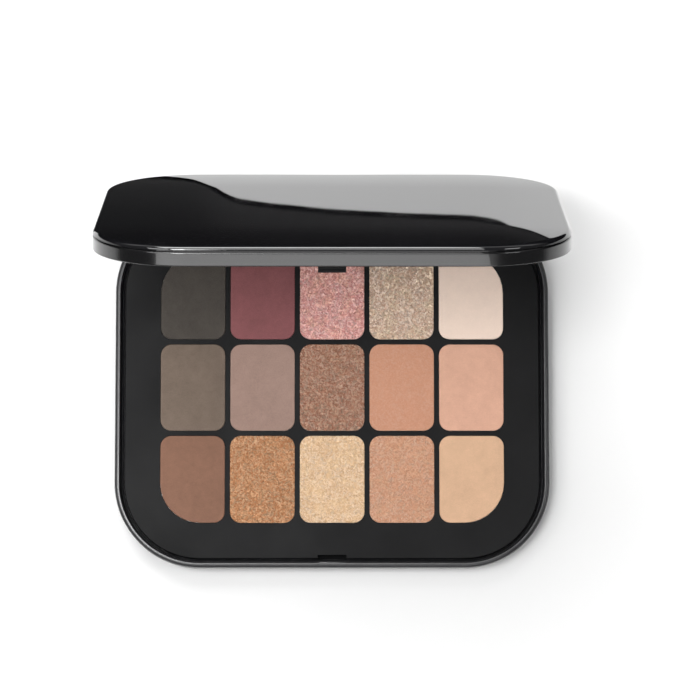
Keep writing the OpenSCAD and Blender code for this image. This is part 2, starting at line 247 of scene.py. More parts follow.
def outline(width, depth, radii, corner=CORNER_STEPS, side=1):
    """Points round rectangles with rounded corners, counter-clockwise from the right.

    Every quarter is its corner's centre plus the corner's radius times (cos a, sin a), for a over a
    right angle. Each straight side between two quarters is cut into equal steps. Width and depth
    hold one number for each outline, radii one row of four."""
    width = np.atleast_1d(width)[:, None, None]
    depth = np.atleast_1d(depth)[:, None, None]
    radii = np.broadcast_to(np.asarray(radii, float).reshape(len(np.atleast_1d(radii)), -1),
                            (width.shape[0], 4))[:, :, None]
    turn = np.linspace(0, np.pi / 2, corner + 1) + np.arange(4)[:, None] * np.pi / 2
    sign_x = np.array([1, -1, -1, 1])[:, None]
    sign_y = np.array([1, 1, -1, -1])[:, None]
    quarters = np.stack([sign_x * (width / 2 - radii) + radii * np.cos(turn),
                         sign_y * (depth / 2 - radii) + radii * np.sin(turn)], -1)
    end = quarters[:, :, -1:]
    start = np.roll(quarters[:, :, :1], -1, axis=1)
    step = (np.arange(1, side) / side)[:, None]
    sides = end + (start - end) * step
    return np.concatenate([quarters, sides], 2).reshape(width.shape[0], -1, 2)


def swept(profile, width, depth, radius, centre=(0.0, 0.0), **steps):
    """A profile carried round a rounded outline.

    A profile point (inset, height) gives one ring: the outline moved in by the inset, at that
    height. Past the corner's centre the ring's corners are sharp."""
    inset, height = profile.T
    rings = outline(width - 2 * inset, depth - 2 * inset,
                    np.maximum(radius - inset, 0)[:, None], **steps)
    return levelled(rings + np.asarray(centre), height)


def softened(points, radii, steps=ARC_STEPS, hold=0.04 * MM):
    """A profile through points with rounded corners, and how far each of its points is on an edge.

    At each inner corner the arc touches both legs at r / tan(half the angle) from the corner. Its
    points are the centre plus r times a direction that turns evenly from one leg's normal to the
    other's. One more point on each leg, just past the arc, keeps the flats flat."""
    points = np.asarray(points, float)
    corner = points[1:-1]
    radii = np.maximum(np.asarray(radii, float), 1e-9)[:, None]
    back = points[:-2] - corner
    ahead = points[2:] - corner
    back_size = np.linalg.norm(back, axis=1, keepdims=True)
    ahead_size = np.linalg.norm(ahead, axis=1, keepdims=True)
    back, ahead = back / back_size, ahead / ahead_size
    half = np.arccos(np.clip((back * ahead).sum(1, keepdims=True), -1, 1)) / 2
    reach = radii / np.tan(half)
    middle = back + ahead
    centre = corner + middle / np.linalg.norm(middle, axis=1, keepdims=True) * radii / np.sin(half)
    first = (corner + back * reach - centre) / radii
    last = (corner + ahead * reach - centre) / radii
    sweep = (np.pi - 2 * half)[:, :, None]
    part = np.linspace(0, 1, steps + 1)[None, :, None]
    turned = (np.sin((1 - part) * sweep) * first[:, None] + np.sin(part * sweep) * last[:, None])
    arc = centre[:, None] + radii[:, None] * turned / np.sin(sweep)
    before = corner + back * np.minimum(reach + hold, (reach + back_size) / 2)
    after = corner + ahead * np.minimum(reach + hold, (reach + ahead_size) / 2)
    rows = np.concatenate([before[:, None], arc, after[:, None]], 1)
    edge = np.zeros(rows.shape[:2])
    edge[:, 1:-1] = np.sin(np.linspace(0, np.pi, steps + 1))
    line = np.concatenate([points[:1], rows.reshape(-1, 2), points[-1:]])
    return line, np.concatenate([[0], edge.reshape(-1), [0]])


def turned_open(points):
    """Points of the closed lid, turned about the hinge axis to where the lid stands."""
    angle = math.radians(-HINGE["range_deg"][0])
    axis_y, axis_z = HINGE_PLACE
    y, z = points[..., 1] - axis_y, points[..., 2] - axis_z
    return np.stack([points[..., 0],
                     axis_y + y * math.cos(angle) + z * math.sin(angle),
                     axis_z - y * math.sin(angle) + z * math.cos(angle)], -1)


def quads(rows, turns, ring=False, closed=True):
    """Faces between neighbouring rows of points, as lists of the points' numbers.

    Ring joins the last row to the first one. Closed joins each row's end to its start."""
    index = np.arange(rows * turns).reshape(rows, turns)
    if ring:
        index = np.concatenate([index, index[:1]])
    if closed:
        index = np.concatenate([index, index[:, :1]], 1)
    corners = [index[:-1, :-1], index[1:, :-1], index[1:, 1:], index[:-1, 1:]]
    return np.stack(corners, -1).reshape(-1, 4).tolist()


def new_object(name, points, faces, key="edge", values=0.0):
    """An object in the scene, with a number of its own at each point."""
    mesh = bpy.data.meshes.new(name)
    mesh.from_pydata(points.reshape(-1, 3).tolist(), [], faces)
    numbers = np.broadcast_to(values, len(mesh.vertices)).astype(np.float32)
    mesh.attributes.new(key, "FLOAT", "POINT").data.foreach_set("value", numbers)
    made = bpy.data.objects.new(name, mesh)
    bpy.context.scene.collection.objects.link(made)
    return made


def levelled(rings, heights):
    """Layers from rings of (x, y) points and a height for each ring."""
    heights = np.broadcast_to(np.reshape(heights, (-1, 1, 1)), rings.shape[:2] + (1,))
    return np.concatenate([rings, heights], 2)


def skin(name, layers, edge=0.0, ring=False):
    """A mesh object from layers of rings that all have the same number of points.

    Layer by layer, neighbouring rings are joined by quads, with the outside where the layers'
    direction and the rings' counter-clockwise turn put it. The first and the last ring are closed
    by a face each, or joined to each other where the layers make a full ring."""
    count, turns = layers.shape[:2]
    faces = quads(count, turns, ring)
    if not ring:
        first, last = list(range(turns)), list(range((count - 1) * turns, count * turns))
        faces += [first, last[::-1]]
    made = new_object(name, layers, faces, values=np.repeat(np.broadcast_to(edge, count), turns))
    work = bmesh.new()
    work.from_mesh(made.data)
    bmesh.ops.remove_doubles(work, verts=work.verts, dist=WELD)
    bmesh.ops.dissolve_degenerate(work, edges=work.edges, dist=WELD / 2)
    work.to_mesh(made.data)
    work.free()
    made.data.shade_smooth()
    made.data.set_sharp_from_angle(angle=SHARP_ANGLE)
    return made


def joined(name, parts):
    """One object out of several that are only parts of the same moulding."""
    with bpy.context.temp_override(active_object=parts[0], selected_editable_objects=parts):
        bpy.ops.object.join()
    parts[0].name = name
    parts[0].data.name = name
    return parts[0]


def bar(section, low, high, soft, bore=None):
    """Layers of a bar along X whose cross-section is a closed line of (y, z) points.

    Its rings are the section moved in along its own normals by soft times (1 - sin a), at
    soft times (1 - cos a) from each end. With a bore, given by its middle and its radius, the
    rings go on round the inside, each point straight inwards from the section's own."""
    along = np.roll(section, -1, axis=0) - np.roll(section, 1, axis=0)
    normal = np.stack([along[:, 1], -along[:, 0]], -1)
    normal /= np.linalg.norm(normal, axis=1, keepdims=True)
    turn = np.linspace(0, np.pi / 2, 5)
    inset = np.concatenate([soft * (1 - np.sin(turn)), soft * (1 - np.sin(turn[::-1]))])
    shift = soft * (1 - np.cos(turn))
    places = np.concatenate([high - shift, low + shift[::-1]])
    rings = section - normal * inset[:, None, None]
    edge = np.concatenate([np.sin(2 * turn)] * 2)
    if bore:
        outward = section - bore[0]
        hole = bore[0] + bore[1] * outward / np.linalg.norm(outward, axis=1, keepdims=True)
        rings = np.concatenate([rings, [hole, hole]])
        places = np.concatenate([places, [low, high]])
        edge = np.concatenate([edge, [0, 0]])
    across = np.broadcast_to(places[:, None, None], rings.shape[:2] + (1,))
    return np.concatenate([across, rings], 2), edge


def barrel_section(radius, wall, flat, slant, side):
    """Side view of a hinge barrel with its web, as (y, z) points.

    It is a circle round the hinge axis up to where the web's flat face, a given distance from the
    axis, meets it. Two more corners lie at the wall. Side is 1 for a web above the axis and -1
    for one below, which is the same line turned over and run backwards."""
    meet = np.pi - math.asin(flat / radius)
    turn = np.linspace(meet, 2.5 * np.pi, 49)
    circle = radius * np.stack([np.cos(turn), np.sin(turn)], -1)
    reach = wall - HINGE_PLACE[0]
    section = np.concatenate([circle, [[reach, radius + slant], [reach, flat]]]) * [1, side]
    return HINGE_PLACE + section[::side]


def barrels(name, casing, wall, flat, side, bore, spans, opened=False):
    """Bored barrels at both hinges, whose webs reach the wall.

    Each lies from one place to another along X, counted from its hinge's middle."""
    section = barrel_section(casing.barrel, wall - casing.web_root, flat, casing.web_slant, side)
    made = []
    for middle in (-casing.hinge_spacing / 2, casing.hinge_spacing / 2):
        for low, high in spans:
            layers, edge = bar(section, middle + low, middle + high, casing.soft_edge,
                               (HINGE_PLACE, bore))
            made.append(skin(name, turned_open(layers) if opened else layers, edge, ring=True))
    return made


def rounded_section(points, radius):
    """A closed line through (y, z) points, with every corner rounded by the same radius."""
    line, _ = softened([points[-1], *points, points[0]], [radius] * len(points), steps=4)
    return line[1:-1]


# ---------------------------------------------------------------- materials


class Number:
    """A number socket of a material's nodes. Sums, differences and products with plain numbers
    or other number sockets add Math nodes."""

    def __init__(self, graph, socket):
        self.graph = graph
        self.socket = socket

    def other(self, output):
        """Another output of the same node."""
        return Number(self.graph, self.socket.node.outputs[output])

    def math(self, operation, first, second=0.0):
        return self.graph.node("ShaderNodeMath", {0: first, 1: second}, operation=operation)

    def __add__(self, value):
        return self.math("ADD", self, value)

    def __sub__(self, value):
        return self.math("SUBTRACT", self, value)

    def __rsub__(self, value):
        return self.math("SUBTRACT", value, self)

    def __mul__(self, value):
        return self.math("MULTIPLY", self, value)

    __radd__ = __add__
    __rmul__ = __mul__

    def above(self, value):
        """1 where the number is above the value, else 0."""
        return self.math("GREATER_THAN", self, value)

    def between(self, low, high):
        """0 at low and 1 at high, straight between them and held outside."""
        return self.graph.node(
            "ShaderNodeMapRange", {"Value": self, "From Min": low, "From Max": high}, clamp=True)


class Graph:
    """The nodes of a material or of the world."""

    def __init__(self, owner):
        owner.use_nodes = True
        self.tree = owner.node_tree
        self.tree.nodes.clear()

    def node(self, kind, inputs=None, output=0, stops=(), **settings):
        """Adds a node: its settings first, then its sockets' values or links. A ramp's stops are
        among the settings, each a place and a level of grey."""
        made = self.tree.nodes.new(kind)
        for key, value in settings.items():
            setattr(made, key, value)
        for number, (place, level) in enumerate(stops):
            marks = made.color_ramp.elements
            mark = marks[number] if number < len(marks) else marks.new(place)
            mark.position = place
            mark.color = (level, level, level, 1)
        for key, value in (inputs or {}).items():
            if isinstance(value, Number):
                self.tree.links.new(value.socket, made.inputs[key])
            elif hasattr(made.inputs[key].default_value, "__len__"):
                size = len(made.inputs[key].default_value)
                made.inputs[key].default_value = (*value, 1)[:size]
            else:
                made.inputs[key].default_value = value
        return Number(self, made.outputs[output]) if made.outputs else None


class Finish(Graph):
    """The nodes of one material, which read Object coordinates in metres."""

    def __init__(self, name):
        self.material = bpy.data.materials.new(name)
        super().__init__(self.material)
        self.place = self.node("ShaderNodeTexCoord", output="Object")

    def noise(self, size, detail=2.0, roughness=0.5, place=None):
        """Soft noise from 0 to 1 whose blots are about this size, in millimetres."""
        return self.node("ShaderNodeTexNoise", {
            "Vector": place or self.place, "Scale": PER_MM / size, "Detail": detail,
            "Roughness": roughness})

    def cells(self, size):
        """Random colours, one for each cell of about this size, in millimetres."""
        return self.node("ShaderNodeTexVoronoi",
                         {"Vector": self.place, "Scale": PER_MM / size}, "Color")

    def stretched(self, x, y, z):
        """Object coordinates, multiplied along each axis."""
        return self.node("ShaderNodeMapping", {"Vector": self.place, "Scale": (x, y, z)})

    def height(self):
        """How high a point lies, in metres."""
        return self.node("ShaderNodeSeparateXYZ", {"Vector": self.place}, "Z")

    def value(self, name="edge"):
        """A number of the piece's own at each point, such as how far it is on an edge."""
        return self.node("ShaderNodeAttribute", output="Fac", attribute_name=name)

    def mix(self, factor, first, second):
        """A colour between two colours."""
        return self.node("ShaderNodeMix", {0: factor, 6: first, 7: second}, 2,
                         data_type="RGBA", clamp_factor=True)

    def tones(self, factor, colour, low, high):
        """A colour between two shares of its own light."""
        return self.mix(factor, scaled(colour, low), scaled(colour, high))

    def bump(self, height, distance, **normal):
        """Normals of a height given from 0 to 1, for a distance in millimetres."""
        return self.node("ShaderNodeBump", {
            "Height": height, "Distance": distance * MM, "Strength": 1.0, **normal})

    def end(self, shader):
        """Ends the material with a shader and gives the material back."""
        self.node("ShaderNodeOutputMaterial", {"Surface": shader})
        return self.material

    def close(self, **sockets):
        """Ends the material with a Principled shader and gives the material back."""
        named = {key.replace("_", " ").title().replace("Ior", "IOR"): value
                 for key, value in sockets.items()}
        return self.end(self.node("ShaderNodeBsdfPrincipled", named))


def scaled(colour, factor):
    """A colour made lighter or darker, as far as its strongest channel allows, in its own hue."""
    factor = min(factor, 0.98 / max(colour))
    return tuple(float(v) * factor for v in colour)


def richer(colour, power):
    """A colour made deeper by a power over 1 or paler by one under 1, as bright as before."""
    return tuple(max(colour) * (float(v) / max(colour)) ** power for v in colour)


def lacquer(name, colour, roughness, coat, wave, edge_coat=0.0):
    """Polished black: faint cloudiness, fine hairlines that dull it, and paler worn edges."""
    finish = Finish(name)
    cloud = finish.noise(14, 3)
    smear = finish.noise(5, 4, 0.6, finish.stretched(1, 0.35, 1)).between(0.45, 0.8)
    hair = finish.noise(0.5, 2, 0.7, finish.stretched(1, 0.04, 0.04)).between(0.66, 0.74)
    worn = finish.value() * finish.noise(0.7, 3).between(0.5, 0.72)
    ground = finish.tones(cloud, colour, 0.82, 1.18)
    if edge_coat:
        coat = coat + edge_coat * finish.value()
    return finish.close(
        base_color=finish.mix(worn * 0.25, ground, scaled(colour, 4)),
        roughness=roughness + smear * 0.02 + hair * 0.03 + worn * 0.08,
        coat_weight=coat, coat_roughness=0.015, coat_ior=1.5, ior=1.5,
        normal=finish.bump(finish.noise(9, 1), wave))


def soft_black(name, colour, face=0.0):
    """Matt soft-feel black: a fine moulded grain, dusty clouds and rubbed, shinier edges.

    What lies lower than the face, at a height in metres, is duller."""
    finish = Finish(name)
    sunk = finish.height().between(face - 0.1 * MM, face - 0.4 * MM)
    grain = finish.noise(0.11, 2, 0.6)
    dust = finish.noise(3.5, 4, 0.62).between(0.42, 0.75)
    rub = finish.noise(16, 2).between(0.35, 0.7)
    speck = finish.noise(0.22, 1).between(0.69, 0.74) * dust
    ground = finish.tones(grain, colour, 0.86, 1.14)
    return finish.close(
        base_color=finish.mix(speck * 0.5, finish.mix(dust * 0.25, ground, scaled(colour, 1.7)),
                              scaled(colour, 7)),
        roughness=0.42 + 0.1 * rub + 0.08 * grain + 0.5 * sunk, ior=1.45, specular_ior_level=0.15,
        normal=finish.bump(grain, 0.012))


def pressed_powder(name, colour, satin, contrast):
    """Matt or satin pressed powder: fine grain, soft clouds, a crumbly paler edge."""
    finish = Finish(name)
    grain = finish.noise(0.16, 3, 0.7)
    cloud = finish.noise(4.5, 3, 0.55, finish.stretched(1, 0.7, 1))
    lump = finish.noise(1.5, 3, 0.6)
    crumb = finish.value() * finish.noise(0.3, 3, 0.7).between(0.4, 0.75)
    shade = grain * 0.66 + lump * 0.18 + cloud * 0.16
    spread = (0.45 - 0.4 * max(colour) ** 0.5) * contrast
    ground = finish.tones(shade.between(0.34, 0.66), colour, 1 - spread, 1 + spread)
    return finish.close(
        base_color=finish.mix(crumb * 0.25, ground, scaled(colour, 1.3)),
        roughness=0.86 - 0.3 * satin + 0.1 * grain, metallic=0.15 * satin,
        specular_ior_level=0.35,
        normal=finish.bump(grain * 0.7 + lump * 0.3, 0.03))


def glitter_powder(name, colour, speck, amount, contrast, flake):
    """Pressed glitter: every cell is a flake with its own tilt and brightness, in fine grain.

    Cells of two sizes are laid over each other. A cell's random number sets how bright its flake
    is, partly as a painted glint, and its random colour the way it is tilted."""
    finish = Finish(name)
    grain = finish.noise(0.16, 3, 0.7)
    cloud = finish.noise(3.2, 3, 0.55)
    cells, small = finish.cells(flake), finish.cells(flake * 0.55)
    parts = finish.node("ShaderNodeSeparateColor", {"Color": cells}, "Red")
    small_parts = finish.node("ShaderNodeSeparateColor", {"Color": small}, "Green")
    spark = parts.between(0.35, 0.85)
    glint = small_parts.between(0.4, 0.9)
    light = (spark * 0.66 + glint * 0.34 + cloud * 0.25) * contrast
    other = small_parts.above(0.6) * 0.2 + cloud.between(0.42, 0.62) * 0.25
    # Painted glint: each flake's colour is paler and lighter than the powder's own, partly the
    # glitter's real colour and partly a painted highlight; the ground between is darker and deeper.
    deep, pale = richer(colour, 1.8), richer(colour, 0.6)
    ground = finish.tones(grain, deep, 1 - 0.58 * contrast, 1 - 0.2 * contrast)
    flake_tint_and_glint = finish.mix(other, scaled(pale, 1 + contrast), scaled(speck, 1 + contrast))
    lit = finish.mix(light, ground, flake_tint_and_glint)
    lean = 0.34 * amount
    level = 0.5 - lean / 2
    tilt = finish.node("ShaderNodeVectorMath", {
        0: cells, 1: (lean, lean, 0.0), 2: (level, level, 1.0)}, operation="MULTIPLY_ADD")
    facing = finish.node("ShaderNodeNormalMap", {"Color": tilt}, space="OBJECT")
    return finish.close(
        base_color=lit,
        metallic=(0.3 + 0.5 * spark) * amount,
        roughness=0.6 - 0.25 * spark * amount,
        specular_ior_level=0.2,
        normal=finish.bump(grain * 0.6 + parts * 0.4, 0.035, Normal=facing))


def tinned_sheet(name, colour):
    """Tinned sheet: drawn lines, dull clouds and small dark pits."""
    finish = Finish(name)
    drawn = finish.noise(0.35, 3, 0.6, finish.stretched(1, 1, 0.12))
    cloud = finish.noise(2.4, 3)
    pit = finish.noise(0.3, 1).between(0.7, 0.76)
    ground = finish.tones(cloud, colour, 0.8, 1.08)
    return finish.close(
        base_color=finish.mix(pit * 0.6, ground, scaled(colour, 0.35)),
        metallic=1.0, roughness=0.3 + 0.14 * cloud + 0.1 * drawn,
        normal=finish.bump(drawn, 0.01))


def ground_steel(name, colour):
    """Ground steel wire: fine turned lines across the pin and grey clouds."""
    finish = Finish(name)
    turned = finish.noise(0.09, 2, 0.6, finish.stretched(1, 0.05, 0.05))
    cloud = finish.noise(0.9, 3)
    return finish.close(
        base_color=finish.tones(cloud, colour, 0.72, 1.12),
        metallic=1.0, roughness=0.22 + 0.16 * cloud + 0.1 * turned,
        normal=finish.bump(turned, 0.006))


def silvered(name, colour):
    """Mirror glass: clean silver with a faint wiped haze and a greenish ground edge."""
    finish = Finish(name)
    haze = finish.noise(9, 4, 0.6, finish.stretched(1, 0.4, 0.4)).between(0.5, 0.85)
    edge = finish.value()
    dust = finish.noise(0.25, 1).between(0.74, 0.78)
    ground = finish.mix(haze * 0.3, colour, scaled(colour, 0.93))
    tinted = finish.mix(edge * 0.6, ground, (0.42, 0.55, 0.5))
    return finish.close(
        base_color=finish.mix(dust * 0.4, tinted, (0.5, 0.5, 0.48)),
        metallic=1.0 - 0.35 * edge, roughness=0.012 + 0.03 * haze + 0.3 * edge + 0.2 * dust,
        normal=finish.bump(finish.noise(40, 1), 0.0006))


def sticky(name, colour, size, roughness):
    """Tape or glue: blotches, tiny bubbles and a soft skin."""
    finish = Finish(name)
    blotch = finish.noise(size, 3)
    bubble = finish.noise(size * 0.12, 1).between(0.64, 0.72)
    ground = finish.tones(blotch, colour, 0.8, 1.12)
    return finish.close(
        base_color=finish.mix(bubble * 0.5, ground, scaled(colour, 1.35)),
        roughness=roughness + 0.15 * blotch, normal=finish.bump(blotch + bubble, 0.02))


def printed_film(name, colour):
    """Blank label film: paper fibres, faint clouds and a slight sheen."""
    finish = Finish(name)
    fibre = finish.noise(0.4, 4, 0.7, finish.stretched(0.3, 1, 1))
    cloud = finish.noise(5, 3)
    shade = fibre * 0.7 + cloud * 0.3
    return finish.close(
        base_color=finish.tones(shade, colour, 0.8, 1.25),
        roughness=0.5 + 0.18 * fibre, normal=finish.bump(fibre, 0.01))


def paint(thing, material):
    """Gives an object one finish all over."""
    thing.data.materials.clear()
    thing.data.materials.append(material)


def dress(node, material):
    """Gives a CAD node its finish."""
    paint(frame["nodes"][node], material)


def place_piece(piece, body, slot, material, *nodes):
    """Hands a new piece its finish and its body, and hides the CAD nodes that it stands for; its
    slot is not used.
    """
    paint(piece, material)
    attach(piece, body)
    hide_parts(*nodes)


# ---------------------------------------------------------------- operators


class Heights:
    """Outline and heights that several pieces share, from the frame and the sizes."""

    def __init__(self, palette):
        casing, lid = palette.casing, palette.lid
        low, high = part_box("base_shell")
        self.width = high.x - low.x
        self.depth = -2 * low.y
        self.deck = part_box("deck_tray")[1].z
        self.rim = self.deck + casing.rim_rise
        self.lid = self.rim + lid.gap
        self.lid_width = self.width + 2 * lid.overhang
        self.lid_depth = self.depth + 2 * lid.overhang
        self.lid_corner = casing.corner + lid.overhang
        self.tape = self.lid + lid.mirror_sink + lid.mirror
        self.panel = self.tape + lid.tape
        self.cover = self.lid + lid.frame_height
        self.tab_front = -self.depth / 2 + casing.rim + lid.tab_gap
        self.tab_end = self.lid - lid.tab_drop
        self.nub = self.tab_end + lid.nub_end + lid.nub


class PALETTE_OT_casing(bpy.types.Operator):
    """Make the bottom casing with its rim, groove, posts, hinge lugs and catch"""
    bl_idname = "palette.casing"
    bl_label = "Casing"

    def execute(self, context):
        palette = context.scene.palette
        size, lid, height = palette.casing, palette.lid, Heights(palette)
        soft = size.soft_edge
        step = size.rim + size.groove
        ledge = height.deck - size.groove_depth
        profile, edge = softened(
            [(size.corner, size.floor), (step, size.floor), (step, ledge),
             (size.rim + size.groove * 0.45, ledge - size.groove), (size.rim, ledge),
             (size.rim, height.rim), (0, height.rim), (0, 0), (size.corner, 0)],
            [soft, soft / 3, soft / 3, soft, soft * 1.5, size.rim_round, size.foot_round])
        shell = swept(profile[:-1], height.width, height.depth, size.corner)
        low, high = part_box("underside_label")
        play = size.label_play
        inwards = 0.96 * size.label_corner
        recess_profile, recess_edge = softened(
            [(-3 * soft, 0), (0, 0), (0, size.label_recess), (inwards, size.label_recess)],
            [soft * 0.6] * 2)
        recess = swept(recess_profile, high.x - low.x + 2 * play, high.y - low.y + 2 * play,
                       size.label_corner, ((low.x + high.x) / 2, (low.y + high.y) / 2))
        parts = [skin("casing", np.concatenate([shell, recess]),
                      np.concatenate([edge[:-1], recess_edge]))]
        parts += self.posts(size)
        parts += self.lugs(size, height)
        parts.append(self.catch(size, lid, height))
        place_piece(joined("casing", parts), "base", "casing",
                    lacquer("casing_gloss", palette.finishes.casing, 0.3, 0.2, 0.001),
                    "base_shell")
        return {"FINISHED"}

    def posts(self, size):
        """A round post on the floor wherever four pans meet."""
        made = []
        for row, column in GRID:
            if row == ROWS or column == COLUMNS:
                continue
            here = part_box(f"pan_r{row}c{column}")
            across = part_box(f"pan_r{row + 1}c{column + 1}")
            middle = ((here[1].x + across[0].x) / 2, (here[0].y + across[1].y) / 2)
            top, foot = size.floor + size.post_height, size.floor / 2
            inwards = size.post * 0.98
            profile, edge = softened([(inwards, top), (0, top), (0, foot), (inwards, foot)],
                                     [size.soft_edge, 0])
            layers = swept(profile, 2 * size.post, 2 * size.post, size.post, middle, corner=6)
            made.append(skin("post", layers, edge))
        return made

    def lugs(self, size, height):
        """Two lugs beside each knuckle, each a barrel with a web below it."""
        near = size.knuckle / 2 + size.knuckle_gap
        far = near + size.lug
        return barrels("lug", size, height.depth / 2, HINGE_PLACE[1] - height.rim, -1,
                       size.pin_press, [(-far, -near), (near, far)])

    def catch(self, size, lid, height):
        """A small ridge on the rim that the tab's nub snaps under."""
        low = height.nub + lid.nub + lid.catch_play
        wall = -height.depth / 2 + size.rim
        root, tip, top = wall - lid.catch_root, wall + lid.catch_rise, low + lid.catch
        section = rounded_section([(root, low), (tip, low), (tip, top), (root, top)],
                                  lid.catch_round)
        layers, edge = bar(section, -lid.tab / 2, lid.tab / 2, lid.catch_round)
        return skin("catch", layers, edge)


class PALETTE_OT_deck(bpy.types.Operator):
    """Give the deck tray its matt finish"""
    bl_idname = "palette.deck"
    bl_label = "Deck"

    def execute(self, context):
        palette = context.scene.palette
        dress("deck_tray", soft_black("deck_soft", palette.finishes.deck, Heights(palette).deck))
        return {"FINISHED"}


class PALETTE_OT_pans(bpy.types.Operator):
    """Give the pans and the glue under them their finishes"""
    bl_idname = "palette.pans"
    bl_label = "Pans and glue"

    def execute(self, context):
        finishes = context.scene.palette.finishes
        metal = tinned_sheet("pan_metal", finishes.pan)
        for row, column in GRID:
            dress(f"pan_r{row}c{column}", metal)
        dress("pan_glue_dots", sticky("glue", finishes.glue, 1.6, 0.35))
        return {"FINISHED"}


class PALETTE_OT_powders(bpy.types.Operator):
    """Press the fifteen powders into their pans"""
    bl_idname = "palette.powders"
    bl_label = "Powders"

    def execute(self, context):
        palette = context.scene.palette
        size = palette.powder
        for row, column in GRID:
            name = f"r{row}c{column}"
            colour = tuple(getattr(palette.shades, name))
            amount, contrast, speck = GLITTER.get(name, (0.0, 1.0, None))
            if speck:
                finish = glitter_powder(f"shade_{name}", colour, linear(speck), amount, contrast,
                                        size.flake * PER_MM)
            else:
                finish = pressed_powder(f"shade_{name}", colour, amount, contrast)
            layers, edge = self.layers(size, row, column)
            place_piece(skin(f"pressed_{name}", layers, edge), "base", f"shade_{name}", finish,
                        f"powder_{name}")
        return {"FINISHED"}

    def layers(self, size, row, column):
        """Rings of one powder: its face, its pressed edge, its lip and the body in the pan.

        The face's rings are the edge's first ring, drawn in towards the middle. The edge is a
        quarter of an ellipse. Soft waves, a sum of sines, lift the face and fade to the edge."""
        low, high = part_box(f"pan_r{row}c{column}")
        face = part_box(f"powder_r{row}c{column}")[1].z + size.face_rise
        middle = np.array([(low.x + high.x) / 2, (low.y + high.y) / 2])
        width, depth = high.x - low.x, high.y - low.y
        radii = np.full(4, size.pan_corner)
        radii[[(row, column) == place for place in (
            (1, COLUMNS), (1, 1), (ROWS, 1), (ROWS, COLUMNS))]] = size.grid_corner
        turn = np.linspace(0, np.pi / 2, 9)
        rim, over = high.z + size.edge_rise, high.z + size.play
        inside = size.pan_sheet + size.play
        inset = np.concatenate([size.edge_round * (1 - np.sin(turn)) - size.lip_reach,
                                [-size.lip_reach, inside, inside]])
        level = np.concatenate([rim + (face - rim) * np.cos(turn), [over, over, low.z + inside]])
        rings = outline(width - 2 * inset, depth - 2 * inset,
                        np.maximum(radii - inset[:, None], 0), corner=8, side=10) + middle
        drawn = np.linspace(0, 1, 16)[:-1, None, None]
        rings = np.concatenate([middle + (rings[0] - middle) * drawn, rings])
        layers = levelled(rings, np.concatenate([np.full(len(drawn), face), level]))
        fade = np.concatenate([np.ones(len(drawn)), np.cos(turn) ** 2, np.zeros(3)])
        random = np.random.default_rng(100 * row + column)
        count, pace = 6, 0.9
        waves = random.normal(size=(count, 2)) * pace * PER_MM
        phase = random.uniform(0, 2 * np.pi, count)
        lift = np.sin(rings @ waves.T + phase).sum(-1) * size.press_wave / 3
        layers[..., 2] += lift * fade[:, None]
        edge = np.concatenate([np.zeros(len(drawn)), np.sin(turn), np.ones(3)])
        return layers, edge


